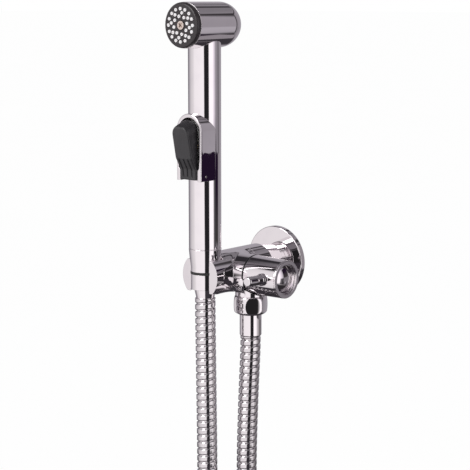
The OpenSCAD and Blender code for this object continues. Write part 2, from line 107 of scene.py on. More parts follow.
class Term:
    """A shader socket that can stand in a Python expression."""

    def __init__(self, finish, socket):
        self.finish = finish
        self.socket = socket

    def maths(self, operation, first, second=None):
        values = {0: first} if second is None else {0: first, 1: second}
        return self.finish.node("ShaderNodeMath", {"operation": operation}, values)

    def __add__(self, other):
        return self.maths("ADD", self, other)

    def __radd__(self, other):
        return self.maths("ADD", other, self)

    def __sub__(self, other):
        return self.maths("SUBTRACT", self, other)

    def __rsub__(self, other):
        return self.maths("SUBTRACT", other, self)

    def __mul__(self, other):
        return self.maths("MULTIPLY", self, other)

    def __rmul__(self, other):
        return self.maths("MULTIPLY", other, self)

    def __truediv__(self, other):
        return self.maths("DIVIDE", self, other)

    def __rtruediv__(self, other):
        return self.maths("DIVIDE", other, self)

    def __pow__(self, other):
        return self.maths("POWER", self, other)

    def __abs__(self):
        return self.maths("ABSOLUTE", self)

    def sine(self):
        return self.maths("SINE", self)

    def between(self, low, high):
        """0 below low, 1 above high and smooth in between."""
        settings = {"interpolation_type": "SMOOTHSTEP"}
        return self.finish.node("ShaderNodeMapRange", settings, {"Value": self, "From Min": low, "From Max": high})


class Finish:
    """A material, or the world, whose nodes are made by one method."""

    def __init__(self, owner):
        owner.use_nodes = True
        self.tree = owner.node_tree
        self.tree.nodes.clear()

    def node(self, kind, settings=None, values=None, out=0):
        made = self.tree.nodes.new(kind)
        for name, value in (settings or {}).items():
            if name == "stops":
                ramp = made.color_ramp
                while len(ramp.elements) < len(value):
                    ramp.elements.new(0.5)
                for element, (place, colour) in zip(ramp.elements, value):
                    element.position = place
                    element.color = (*colour, 1.0)
            else:
                setattr(made, name, value)
        for name, value in (values or {}).items():
            socket = made.inputs[name]
            if isinstance(value, Term):
                self.tree.links.new(value.socket, socket)
            elif socket.type == "RGBA" and len(value) == 3:
                socket.default_value = (*value, 1.0)
            else:
                socket.default_value = value
        return Term(self, made.outputs[out])

    def place(self, scale=(1, 1, 1), at=(0, 0, 0), turn=(0, 0, 0)):
        """Object coordinates, centred and scaled."""
        where = self.node("ShaderNodeTexCoord", out=3)
        return self.node("ShaderNodeMapping", {"vector_type": "TEXTURE"}, {
            "Vector": where, "Location": at, "Rotation": turn, "Scale": tuple(1 / s for s in scale)})

    def noise(self, place, scale, detail=2.0, rough=0.5):
        return self.node("ShaderNodeTexNoise", None, {
            "Vector": place, "Scale": scale, "Detail": detail, "Roughness": rough})

    def parts(self, place):
        split = self.node("ShaderNodeSeparateXYZ", None, {"Vector": place})
        outputs = split.socket.node.outputs
        return [Term(self, outputs[k]) for k in range(3)]

    def blend(self, share, first, second):
        """A colour between two colours."""
        made = self.tree.nodes.new("ShaderNodeMix")
        made.data_type = "RGBA"
        for k, value in ((0, share), (6, first), (7, second)):
            if isinstance(value, Term):
                self.tree.links.new(value.socket, made.inputs[k])
            elif k == 0:
                made.inputs[k].default_value = value
            else:
                made.inputs[k].default_value = (*value, 1.0)
        return Term(self, made.outputs[2])

    def bump(self, height, strength, depth, edge=None):
        """A bumped normal, on edges that are rounded over the given radius in metres."""
        values = {"Height": height, "Strength": strength, "Distance": depth}
        if edge:
            values["Normal"] = self.node("ShaderNodeBevel", {"samples": 6}, {"Radius": edge})
        return self.node("ShaderNodeBump", None, values)

    def angle(self, first, second):
        """The direction of (first, second) in degrees, from -180 to 180 and 0 along first."""
        return self.node("ShaderNodeMath", {"operation": "ARCTAN2"}, {0: second, 1: first}) * (180 / math.pi)

    def surface(self, **values):
        """The Principled shader, with socket names written with low lines."""
        named = {name.replace("_", " "): value for name, value in values.items()}
        return self.node("ShaderNodeBsdfPrincipled", None, named)

    def end(self, shader):
        out = "ShaderNodeOutputMaterial"
        if isinstance(self.tree.id_data, bpy.types.World):
            out = "ShaderNodeOutputWorld"
        self.node_out(out, shader)

    def node_out(self, kind, shader):
        made = self.tree.nodes.new(kind)
        self.tree.links.new(shader.socket, made.inputs["Surface"])


finishes = {}


def finish_named(name, make):
    """The material of that name, made once."""
    if name not in finishes:
        material = bpy.data.materials.new(name)
        make(Finish(material))
        finishes[name] = material
    return finishes[name]


def polished_chrome(f):
    place = f.place()
    haze = f.noise(place, 90.0, 3.0).between(0.45, 0.75)
    smear = f.noise(f.place(scale=(1, 1, 0.25)), 420.0, 2.0).between(0.4, 0.8)
    wave = f.noise(place, 160.0, 2.0)
    tone = f.blend(haze, (0.86, 0.825, 0.84), (0.83, 0.795, 0.815))
    f.end(f.surface(
        Base_Color=tone, Metallic=1.0, Roughness=0.012 + haze * 0.02 + smear * 0.015,
        Normal=f.bump(wave, 0.04, 0.0002, edge=0.0004)))


def wound_chrome(f):
    place = f.place()
    haze = f.noise(place, 240.0, 3.0).between(0.4, 0.75)
    wave = f.noise(place, 500.0, 2.0)
    tone = f.blend(haze, (0.74, 0.715, 0.725), (0.66, 0.635, 0.65))
    f.end(f.surface(
        Base_Color=tone, Metallic=1.0, Roughness=0.1 + haze * 0.05, Normal=f.bump(wave, 0.04, 0.0002)))


def black_face_plastic(f):
    place = f.place()
    grain = f.noise(place, 2600.0, 2.0)
    dust = f.noise(place, 260.0, 3.0).between(0.55, 0.8)
    tone = f.blend(dust, (0.024, 0.019, 0.021), (0.037, 0.032, 0.035))
    f.end(f.surface(
        Base_Color=tone, Roughness=0.3 + dust * 0.15, Normal=f.bump(grain, 0.12, 0.0001), Specular_IOR_Level=0.5))


def black_trigger_plastic(f):
    place = f.place()
    grain = f.noise(place, 2200.0, 2.0)
    rub = f.noise(place, 130.0, 3.0).between(0.45, 0.8)
    tone = f.blend(rub, (0.018, 0.0165, 0.019), (0.028, 0.026, 0.029))
    f.end(f.surface(
        Base_Color=tone, Roughness=0.36 + rub * 0.12, Normal=f.bump(grain, 0.15, 0.0001), Specular_IOR_Level=0.6))


# Black trim plastic for the knob's ring and mark, and also the painted shade in the hose's grooves and inside the
# housing arch.
def black_trim_and_painted_shade(f):
    place = f.place()
    cloud = f.noise(place, 500.0, 2.0)
    f.end(f.surface(
        Base_Color=f.blend(cloud, (0.008, 0.008, 0.009), (0.014, 0.014, 0.015)), Roughness=0.4 + cloud * 0.15,
        Specular_IOR_Level=0.2))


def white_silicone(f):
    place = f.place()
    cloud = f.noise(place, 420.0, 3.0)
    grain = f.noise(place, 3000.0, 2.0)
    f.end(f.surface(
        Base_Color=f.blend(cloud, (0.80, 0.77, 0.77), (0.88, 0.86, 0.86)), Roughness=0.5 + cloud * 0.1,
        Normal=f.bump(grain, 0.1, 0.0001), Subsurface_Weight=0.08, Subsurface_Radius=(0.001, 0.0008, 0.0008),
        Subsurface_Scale=1.0))


def black_rubber(f):
    place = f.place()
    grain = f.noise(place, 1800.0, 3.0)
    f.end(f.surface(
        Base_Color=f.blend(grain, (0.012, 0.012, 0.012), (0.028, 0.027, 0.027)), Roughness=0.6 + grain * 0.15,
        Normal=f.bump(grain, 0.2, 0.0001)))


def white_plastic(f):
    cloud = f.noise(f.place(), 160.0, 3.0)
    f.end(f.surface(Base_Color=f.blend(cloud, (0.74, 0.74, 0.71), (0.82, 0.82, 0.8)), Roughness=0.32 + cloud * 0.12))


def white_ceramic(f):
    cloud = f.noise(f.place(), 900.0, 3.0)
    f.end(f.surface(Base_Color=f.blend(cloud, (0.82, 0.81, 0.77), (0.88, 0.87, 0.84)), Roughness=0.14 + cloud * 0.08))


def plain_steel(f):
    place = f.place()
    cloud = f.noise(place, 700.0, 3.0)
    f.end(f.surface(
        Base_Color=f.blend(cloud, (0.58, 0.56, 0.54), (0.68, 0.66, 0.63)), Metallic=1.0, Roughness=0.2 + cloud * 0.12,
        Normal=f.bump(cloud, 0.08, 0.0001)))


def screw_steel(f):
    place = f.place()
    cloud = f.noise(place, 900.0, 3.0)
    f.end(f.surface(
        Base_Color=f.blend(cloud, (0.62, 0.52, 0.47), (0.76, 0.68, 0.62)), Metallic=1.0, Roughness=0.3 + cloud * 0.12,
        Normal=f.bump(cloud, 0.1, 0.0001)))


def machined_brass(f):
    place = f.place()
    x, y, z = f.parts(place)
    rings = ((x + y) * 9000.0).sine()
    cloud = f.noise(place, 300.0, 3.0)
    f.end(f.surface(
        Base_Color=f.blend(cloud, (0.70, 0.50, 0.22), (0.82, 0.63, 0.32)), Metallic=1.0, Roughness=0.22 + cloud * 0.14,
        Normal=f.bump(rings, 0.06, 0.00005)))


MAKERS = {
    "polished_chrome": polished_chrome,
    "hose_chrome": wound_chrome,
    "black_face": black_face_plastic,
    "black_trigger": black_trigger_plastic,
    "black_trim": black_trim_and_painted_shade,
    "white_silicone": white_silicone,
    "black_rubber": black_rubber,
    "white_plastic": white_plastic,
    "white_ceramic": white_ceramic,
    "steel": plain_steel,
    "screw_steel": screw_steel,
    "brass": machined_brass,
}


def paint(piece, slot):
    piece.data.materials.clear()
    piece.data.materials.append(finish_named(slot, MAKERS[slot]))


# Surfaces


def grid_piece(name, points, close_rows=False, close_columns=True, sharp=35.0, second=None):
    """One object from a grid of points in millimetres, rows along the profile and columns round it.
    Each cell of the grid is one face. Doubles at poles and seams are merged and the faces point outwards.
    The cells that are true in the second array take the object's second material."""
    rows, columns = points.shape[:2]
    r = np.arange(rows if close_rows else rows - 1)
    c = np.arange(columns if close_columns else columns - 1)
    i, j = np.meshgrid(r, c, indexing="ij")
    i2, j2 = (i + 1) % rows, (j + 1) % columns
    faces = np.stack([i * columns + j, i * columns + j2, i2 * columns + j2, i2 * columns + j], -1).reshape(-1, 4)
    flat = points.reshape(-1, 3) * MM
    middle = flat.mean(0)
    a, b, d = flat[faces[:, 0]] - middle, flat[faces[:, 1]] - middle, flat[faces[:, 2]] - middle
    e = flat[faces[:, 3]] - middle
    volume = (np.cross(a, b) * d).sum() + (np.cross(a, d) * e).sum()
    if volume < 0:
        faces = faces[:, ::-1]
    mesh = bpy.data.meshes.new(name)
    mesh.from_pydata(flat.tolist(), [], faces.tolist())
    if second is not None:
        mesh.polygons.foreach_set("material_index", second.reshape(-1).astype(np.int32))
    made = bmesh.new()
    made.from_mesh(mesh)
    bmesh.ops.remove_doubles(made, verts=made.verts, dist=1e-7)
    bmesh.ops.dissolve_degenerate(made, edges=made.edges, dist=1e-8)
    made.to_mesh(mesh)
    made.free()
    mesh.shade_smooth()
    mesh.set_sharp_from_angle(angle=math.radians(sharp))
    piece = bpy.data.objects.new(name, mesh)
    bpy.context.scene.collection.objects.link(piece)
    return piece


def fillet(points, radii, steps=5, hold=0.04):
    """A profile whose corners are turned into arcs: the centre of each arc lies on the corner's bisector, at the
    radius over the cosine of half the turn, and a holding point stands close to each end of the arc."""
    points = [np.array(p, float) for p in points]
    if np.isscalar(radii):
        radii = [radii] * (len(points) - 2)
    made = [points[0]]
    for before, at, after, radius in zip(points[:-2], points[1:-1], points[2:], radii):
        one, two = at - before, after - at
        size_one, size_two = np.linalg.norm(one), np.linalg.norm(two)
        one, two = one / size_one, two / size_two
        turn = math.acos(max(-1.0, min(1.0, float(one @ two))))
        reach = radius * math.tan(turn / 2)
        most = 0.46 * min(size_one, size_two)
        if radius <= 0 or turn < 0.02:
            made.append(at)
            continue
        if reach > most:
            radius *= most / reach
            reach = most
        centre = at + (two - one) / np.linalg.norm(two - one) * radius / math.cos(turn / 2)
        first = (at - one * reach - centre) / radius
        share = np.linspace(0, 1, steps + 1)[:, None]
        last = (at + two * reach - centre) / radius
        arc = centre + radius * (np.sin((1 - share) * turn) * first + np.sin(share * turn) * last) / math.sin(turn)
        edge = min(hold, 0.3 * (0.5 * min(size_one, size_two)))
        made.append(at - one * (reach + edge))
        made.extend(arc)
        made.append(at + two * (reach + edge))
    made.append(points[-1])
    return np.array(made)


PEG_LIFT = math.radians(2.7)
AXES = {
    "peg": (np.array([0, -math.cos(PEG_LIFT), math.sin(PEG_LIFT)]), np.array([1.0, 0, 0]),
            np.array([0, math.sin(PEG_LIFT), math.cos(PEG_LIFT)])),
    "x": (np.array([1.0, 0, 0]), np.array([0, 1.0, 0]), np.array([0, 0, 1.0])),
    "y": (np.array([0, 1.0, 0]), np.array([0, 0, 1.0]), np.array([1.0, 0, 0])),
    "z": (np.array([0, 0, 1.0]), np.array([1.0, 0, 0]), np.array([0, 1.0, 0])),
}


def turned(profile, axis="z", at=(0, 0, 0), around=128):
    """Points of a turned surface: each profile point (radius, height) goes round the axis as
    centre + height x axis + radius x (cosine x first side + sine x second side)."""
    along, first, second = AXES[axis]
    angle = np.arange(around) * 2 * np.pi / around
    ring = np.cos(angle)[:, None] * first + np.sin(angle)[:, None] * second
    profile = np.asarray(profile, float)
    return np.array(at, float) + profile[:, 1, None, None] * along + profile[:, 0, None, None] * ring[None]


def dress(piece, node, body, slot):
    """The piece replaces its CAD node, rides on its body, if it has one, and gets its finish."""
    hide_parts(node)
    if body:
        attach(piece, body)
    paint(piece, slot)
    return piece


def body_of_node(node):
    for body, members in frame["record"]["behaviour"]["bodies"].items():
        if node in members:
            return body
    return None


def turned_piece(node, profile, axis="z", at=(0, 0, 0), slot="polished_chrome", around=128, closed=False):
    points = turned(profile, axis, at, around)
    piece = grid_piece(node + "_shape", points, close_rows=closed)
    return dress(piece, node, body_of_node(node), slot)


# Trigger


def box_outline(sides, ends, corner):
    """Coefficients of the points of a rounded rectangle, from its front left corner round to it again: the shares of
    the half width and half depth, and the cosine and sine that the corner radius is multiplied by."""
    u = np.linspace(-1, 1, sides)
    v = np.linspace(-1, 1, ends)
    q = np.linspace(0, np.pi / 2, corner)
    one = np.ones(corner)
    runs = [
        (u, -np.ones(sides), 0 * u, -np.ones(sides)), (one, -one, np.sin(q), -np.cos(q)),
        (np.ones(ends), v, np.ones(ends), 0 * v), (one, one, np.cos(q), np.sin(q)),
        (u[::-1], np.ones(sides), 0 * u, np.ones(sides)), (-one, one, -np.sin(q), np.cos(q)),
        (-np.ones(ends), v[::-1], -np.ones(ends), 0 * v), (-one, -one, -np.cos(q), -np.sin(q))]
    return [np.concatenate([run[k] for run in runs]) for k in range(4)]


def soft_profile(heights, places, at, reach):
    """The broken line through heights and places, averaged over the reach above and below each height."""
    shift = np.linspace(-reach, reach, 9)
    return np.interp(np.asarray(at)[:, None] + shift, heights, places).mean(1)


def lever_shape(width, groove):
    """The paddle as rounded rectangles stacked upwards. The front and back follow two side profiles. The half width
    is limited by an arch whose axis rises by 19 degrees towards the back. On the front a shallow dish is a Gaussian
    of x and z, and three grooves are steep Gaussians of x."""
    z = np.concatenate([75.3 + 0.7 * (1 - np.cos(np.linspace(0, np.pi / 2, 6))), np.linspace(76.1, 120.25, 175)])
    front = soft_profile(
        [75.3, 83.1, 92.1, 111.5, 113.9, 115.7, 116.7, 120.3],
        [-106.9, -107.4, -112.3, -116.1, -116.4, -115.8, -114.2, -107.3], z, 0.7)
    back = soft_profile(
        [75.3, 76.1, 79.9, 83.7, 89.7, 116.4, 120.3], [-102.4, -97.7, -97.7, -103.1, -104.5, -104.5, -107.2], z, 0.5)
    front = np.minimum(front, back - 0.02)
    low = np.clip((76.0 - z) / 0.7, 0, 1)
    inset = 0.7 * (1 - np.sqrt(1 - low**2))
    share_x, share_y, cosine, sine = [c[None, :] for c in box_outline(90, 12, 8)]
    half = ((back - front) / 2 - inset)[:, None]
    middle = ((back + front) / 2)[:, None]
    front_corner, back_corner = np.minimum(1.7, half * 0.9), np.minimum(0.5, half * 0.9)
    corner = np.where((sine < 0) | (share_y < 0), front_corner, back_corner)
    y = middle + np.where(share_y < 0, share_y * (half - front_corner), share_y * (half - back_corner)) + sine * corner
    tilt = math.radians(19)
    over = np.maximum((z[:, None] - 108.4) * math.cos(tilt) - (y + 116.4) * math.sin(tilt), 0)
    arch = np.sqrt(np.maximum((width / 2) ** 2 - over**2, 1e-6)) - inset[:, None]
    arch = np.maximum(arch, 0.01)
    corner = np.minimum(corner, arch)
    x = share_x * (arch - corner) + cosine * corner
    face = np.clip(-sine, 0, 1)
    level = z[:, None]
    y = y + face * 0.5 * np.exp(-((x / 4.4) ** 2) - ((level - 106.0) / 7.0) ** 2)
    lines = sum(np.exp(-(((x - k * 4.4) / 0.62) ** 4)) for k in (-1, 0, 1))
    stretch = np.clip((level - 77.2) / 0.8, 0, 1) * np.clip((91.4 - level) / 1.2, 0, 1)
    y = y + face * groove * lines * stretch
    points = np.stack([x, y, level + 0 * x], -1)
    ends = [np.repeat(row.mean(0)[None, None], points.shape[1], axis=1) for row in (points[0], points[-1])]
    return np.concatenate([ends[0], points, ends[1]])


def housing_shape(outer, inner, round_out, round_in):
    """The arched housing: a rounded section carried up one side, round the arch and down the other. The outer line
    is a half circle on two straight legs, and so is the inner line, whose foot is narrower. The walls reach back to
    the round handle, at the axis less the root of the handle's radius squared less x squared."""
    leg = np.linspace(0, 1, 60)
    bend = np.linspace(np.pi, 0, 66)[1:-1]
    top_out, top_in, floor = 112.45, 111.45, 74.5
    rise_out, rise_in = floor + leg * (top_out - floor), floor + leg * (top_in - floor)
    half = np.interp(rise_in, [floor, 82.5, 84.5, top_in], [8.65, 8.65, inner, inner])
    x_out = np.concatenate([-outer + 0 * leg, outer * np.cos(bend), outer + 0 * leg])
    z_out = np.concatenate([rise_out, top_out + outer * np.sin(bend), rise_out[::-1]])
    x_in = np.concatenate([-half, inner * np.cos(bend), half[::-1]])
    z_in = np.concatenate([rise_in, top_in + inner * np.sin(bend), rise_in[::-1]])
    way_x = np.concatenate([-1 + 0 * leg, np.cos(bend), 1 + 0 * leg])
    way_z = np.concatenate([0 * leg, np.sin(bend), 0 * leg])
    front = HANDSET_Y - 18.0

    def handle(x):
        return HANDSET_Y - np.sqrt(np.maximum((HANDLE_R - 0.1) ** 2 - x**2, 0.3))

    columns = []
    for share in np.linspace(0, 1, 10):
        columns.append((x_out, (1 - share) * handle(x_out) + share * (front + round_out), z_out))
    for turn in np.linspace(0, np.pi / 2, 8)[1:]:
        back = round_out * (1 - np.cos(turn))
        columns.append((
            x_out - way_x * back, front + round_out * (1 - np.sin(turn)) + 0 * x_out, z_out - way_z * back))
    a_x, a_z = x_out - way_x * round_out, z_out - way_z * round_out
    b_x, b_z = x_in + way_x * round_in, z_in + way_z * round_in
    for share in np.linspace(0, 1, 6)[1:]:
        columns.append((a_x + share * (b_x - a_x), front + 0 * a_x, a_z + share * (b_z - a_z)))
    for turn in np.linspace(0, np.pi / 2, 6)[1:]:
        back = round_in * (1 - np.sin(turn))
        columns.append((
            x_in + way_x * back, front + round_in * (1 - np.cos(turn)) + 0 * x_in, z_in + way_z * back))
    for share in np.linspace(0, 1, 10)[1:]:
        columns.append((x_in, (1 - share) * (front + round_in) + share * handle(x_in), z_in))
    for share in np.linspace(0, 1, 5)[1:-1]:
        x = x_in + share * (x_out - x_in)
        columns.append((x, handle(x), z_in + share * (z_out - z_in)))
    points = np.stack([np.stack(column, -1) for column in columns], 1)
    ends = [np.repeat(row.mean(0)[None, None], points.shape[1], axis=1) for row in (points[0], points[-1])]
    return np.concatenate([ends[0], points, ends[1]])


def spring_shape(start, end, radius, wire, turns):
    """A coil along y: its middle line goes round at the radius while it runs from start to end, and the wire's section
    is a circle in the plane of the axis and that radius."""
    share = np.linspace(0, 1, 181)[:, None]
    turn = share * turns * 2 * np.pi
    round_wire = (np.arange(12) * 2 * np.pi / 12)[None, :]
    away = radius + wire * np.cos(round_wire)
    along = start + wire + share * (end - start - 2 * wire) + wire * np.sin(round_wire)
    points = np.stack([away * np.cos(turn), along, PLUNGER_Z + away * np.sin(turn)], -1)
    ends = [np.repeat(row.mean(0)[None, None], 12, axis=1) for row in (points[0], points[-1])]
    return np.concatenate([ends[0], points, ends[1]])


def paint_arch_shade(piece):
    """Painted shade on the inside of the arch: the faces between its inner walls, behind the rounded front edge, take a
    black second material in place of the shade and dark reflections there.
    """
    piece.data.materials.append(finish_named("black_trim", MAKERS["black_trim"]))
    centres = np.empty(len(piece.data.polygons) * 3)
    normals = centres.copy()
    piece.data.polygons.foreach_get("center", centres)
    piece.data.polygons.foreach_get("normal", normals)
    centres, normals = centres.reshape(-1, 3), normals.reshape(-1, 3)
    axis = np.stack([centres[:, 0], centres[:, 2] - 111.45 * MM], -1)
    axis[:, 1] = np.maximum(axis[:, 1], 0)
    inwards = (axis * normals[:, [0, 2]]).sum(1) < -0.3 * np.linalg.norm(axis, axis=1)
    deep_painted_shade = centres[:, 1] > (HANDSET_Y - 17.45) * MM
    # faces inside the arch take the black painted shade
    piece.data.polygons.foreach_set("material_index", (inwards & deep_painted_shade).astype(np.int32))


# Knob


def mark_shape(left, right, height, rise):
    """The small black triangle that lies on the knob: rows from its base to its tip, each an arc on the knob's
    slightly conical surface and an arc below it."""
    share = np.linspace(0, 1, 18)[:, None]
    x = left + share * (right - left)
    radius = np.interp(x, [27.15, 56.65], [15.1, 14.55])
    across = np.linspace(-1, 1, 13)[None, :]
    half = 1.5 * (1 - share)
    z = height + across * half
    rings = []
    for lift, order in ((rise, slice(None)), (-0.3, slice(None, None, -1))):
        r = radius + lift
        y = KNOB_Y - np.sqrt(r**2 - z**2)
        rings.append(np.stack([x + 0 * z, y, z], -1)[:, order])
    points = np.concatenate(rings, axis=1)
    base = np.repeat(points[:1].mean(1, keepdims=True), points.shape[1], axis=1)
    return np.concatenate([base, points])


# Valve body


def joined(name, pieces):
    """One object from several closed shells."""
    made = bmesh.new()
    for piece in pieces:
        made.from_mesh(piece.data)
        bpy.data.objects.remove(piece)
    mesh = bpy.data.meshes.new(name)
    made.to_mesh(mesh)
    made.free()
    whole = bpy.data.objects.new(name, mesh)
    bpy.context.scene.collection.objects.link(whole)
    return whole


def step_between(value, low, high):
    """0 below low, 1 above high and smooth in between."""
    share = np.clip((value - low) / (high - low), 0, 1)
    return share**2 * (3 - 2 * share)


def soft_most(first, second, blend, reach):
    """The larger of two values with a rounded change, which fades out where they differ by the reach."""
    gap = np.abs(first - second)
    blend = blend * (1 - step_between(gap, 0.3 * reach, reach))
    return (first + second + np.sqrt(gap**2 + blend**2)) / 2


def barrel_shape(fillet_size):
    """The barrel about the knob's axis: at each place along it and each angle the radius is the larger, with a
    rounded change, of the barrel's own and of the way to the valve body's surface, which is the root of the body's
    radius squared less x squared, over the sine of the angle."""
    x = np.concatenate([np.linspace(0, 25.8, 105), 26.2 - 0.3 * np.cos(np.linspace(0.3, np.pi / 2, 6))])[:, None]
    angle = (np.arange(288) * 2 * np.pi / 288)[None, :]
    sine, cosine = np.abs(np.sin(angle)), np.abs(np.cos(angle))
    body = np.sqrt(np.maximum(BODY_R**2 - x**2, 0)) / np.maximum(sine, 1e-4)
    own = BARREL_R - 0.3 * (1 - np.sqrt(1 - np.clip((x - 25.9) / 0.3, 0, 1) ** 2))
    radius = soft_most(own + 0 * angle, body, fillet_size * step_between(x, 2, 9), 7.0)
    radius = np.minimum(radius, 18.5 / np.maximum(cosine, 1e-4))
    points = np.stack([
        x + 0 * angle, KNOB_Y + radius * np.cos(angle), radius * np.sin(angle)], -1)
    ends = [np.stack([x[k] + 0 * angle[0], KNOB_Y + 0 * angle[0], 0 * angle[0]], -1)[None] for k in (0, -1)]
    return np.concatenate([ends[0], points, ends[1]])


def boss_shape(radius, fillet_size):
    """The boss over the nut: a short round foot that runs into the barrel's underside in the same way, and is cut
    off below the knob beyond the barrel's end."""
    angle = (np.arange(240) * 2 * np.pi / 240)[None, :]
    share = np.linspace(0, 1, 60)[:, None]
    beyond = OUTLET_X + radius * np.cos(angle) > 26.25
    under = -np.sqrt(15.7**2 - (radius * np.sin(angle)) ** 2)
    top = np.where(beyond, under, -1.5)
    z = -16.7 + share * (top + 16.7)
    way = np.sqrt(np.maximum(BARREL_R**2 - z**2, 0)) / np.maximum(np.abs(np.sin(angle)), 1e-4)
    foot = radius - 0.3 * (1 - step_between(z, -16.7, -16.3))
    wide = soft_most(foot, way, 1.7 * fillet_size, 6.0)
    wide = np.where(beyond, foot, np.minimum(wide, radius + 3.6))
    rows = [(wide, z), (wide[-1:] * 0.3, np.minimum(z[-1:], -15.8)), (0 * angle, -15.8 + 0 * angle)]
    rows.insert(0, (0 * angle, -16.7 + 0 * angle))
    wide = np.concatenate([row[0] for row in rows])
    z = np.concatenate([row[1] for row in rows])
    return np.stack([OUTLET_X + wide * np.cos(angle), KNOB_Y + wide * np.sin(angle), z], -1)


def holder_shape():
    """The two ears that hold the handset: a round bar across the handset's axis, cut flat above and below, with the
    seat cut out. Rows run from one ear round the seat to the other, columns go round the section."""
    up = np.concatenate([[0], 0.35 * (1 - np.cos(np.linspace(0.3, np.pi / 2, 4))), np.linspace(0.5, 24.3, 31),
                         24.8 - 0.35 * (1 - np.cos(np.linspace(np.pi / 2, 0.3, 4))), [24.8]]) - 12.4
    trim = 0.35 - np.sqrt(np.maximum(0.35**2 - np.maximum(np.abs(up) - 12.05, 0) ** 2, 0))
    outer = np.sqrt(17.7**2 - up**2) - trim
    seat = 11.4 + 0.08 * np.maximum(up - 6.6, 0) + trim
    t = np.linspace(0, 1, 41)
    side = np.stack([-np.ones(41), -94.1 + 20.6 * t], -1)
    back = np.stack([np.linspace(-1, 1, 31)[1:-1], -73.5 + np.zeros(29)], -1)
    path = np.concatenate([side, back, (side * (-1, 1))[::-1]])
    start = np.arcsin(6.1 / 11.4)
    turn = np.pi + start - np.linspace(0, 1, len(path)) * (np.pi + 2 * start)
    out_points = np.stack([
        path[:, :1] * outer[None], path[:, 1:] + 0 * outer[None], 0 * path[:, :1] + up[None]], -1)
    in_points = np.stack([
        np.cos(turn)[:, None] * seat[None], HANDSET_Y + np.sin(turn)[:, None] * seat[None],
        0 * path[:, :1] + up[None]], -1)
    in_points[..., 1] = np.maximum(in_points[..., 1], -94.1)
    mid_top = out_points[:, -1:] * 0.5 + in_points[:, -1:] * 0.5
    mid_low = out_points[:, :1] * 0.5 + in_points[:, :1] * 0.5
    points = np.concatenate([out_points, mid_top, in_points[:, ::-1], mid_low], 1)
    ends = [np.repeat(row.mean(0)[None, None], points.shape[1], axis=1) for row in (points[0], points[-1])]
    return np.concatenate([ends[0], points, ends[1]])


# Hexagon nut


def soft_least(first, second, blend):
    """The smaller of two values with a rounded change from one to the other."""
    gap = first - second
    return (first + second - np.sqrt(gap**2 + blend**2)) / 2


def hex_nut_shape(flats, bottom, top, bore):
    """The nut's radius over angle and height: the least, with rounded changes, of a hexagon with slightly crowned
    flats, a barrel that cuts its corners and a cone at the bottom."""
    z = np.concatenate([bottom + 0.8 * np.linspace(0, 1, 9) ** 1.5, np.linspace(bottom + 1, top - 1, 46),
                        top - 0.8 * np.linspace(1, 0, 9) ** 1.5])[:, None]
    angle = (np.arange(288) * 2 * np.pi / 288)[None, :]
    off = (angle - math.radians(20.9) + np.pi / 6) % (np.pi / 3) - np.pi / 6
    corner = (flats / 2 + 0.15) / np.cos(off) * (1 - 0.13 * off**2)
    middle = (top + bottom) / 2
    barrel = -10 + np.sqrt(23.4**2 - (z - middle) ** 2)
    cone = 10.1 + 1.7 * (z - bottom)
    radius = soft_least(soft_least(corner, barrel + 0 * angle, 0.16), cone + 0 * angle, 0.3)
    lid = 11.6 + 1.6 * (top - z)
    radius = soft_least(radius, lid + 0 * angle, 0.3)
    radius = np.concatenate([bore + 0 * angle, radius, bore + 0 * angle])
    z = np.concatenate([z[:1], z, z[-1:]]) + 0 * angle
    return np.stack([
        OUTLET_X + radius * np.cos(angle), KNOB_Y + radius * np.sin(angle), z], -1)


# Hose


def smooth_route(points, spacing):
    """Points along the Catmull-Rom curve through the route, at even spacing:
    half of (2p1 + (p2 - p0)t + (2p0 - 5p1 + 4p2 - p3)tt + (3p1 - p0 - 3p2 + p3)ttt) for each stretch."""
    ends = np.vstack([points[:1], points, points[-1:]])
    p0, p1, p2, p3 = ends[:-3, None], ends[1:-2, None], ends[2:-1, None], ends[3:, None]
    t = np.linspace(0, 1, 60, endpoint=False)[None, :, None]
    curve = 0.5 * (2 * p1 + (p2 - p0) * t + (2 * p0 - 5 * p1 + 4 * p2 - p3) * t**2
                   + (3 * p1 - p0 - 3 * p2 + p3) * t**3)
    curve = np.vstack([curve.reshape(-1, points.shape[1]), points[-1:]])
    run = np.concatenate([[0], np.cumsum(np.linalg.norm(np.diff(curve, axis=0), axis=1))])
    even = np.linspace(0, run[-1], int(run[-1] / spacing) + 1)
    return np.stack([np.interp(even, run, curve[:, k]) for k in range(points.shape[1])], -1), even


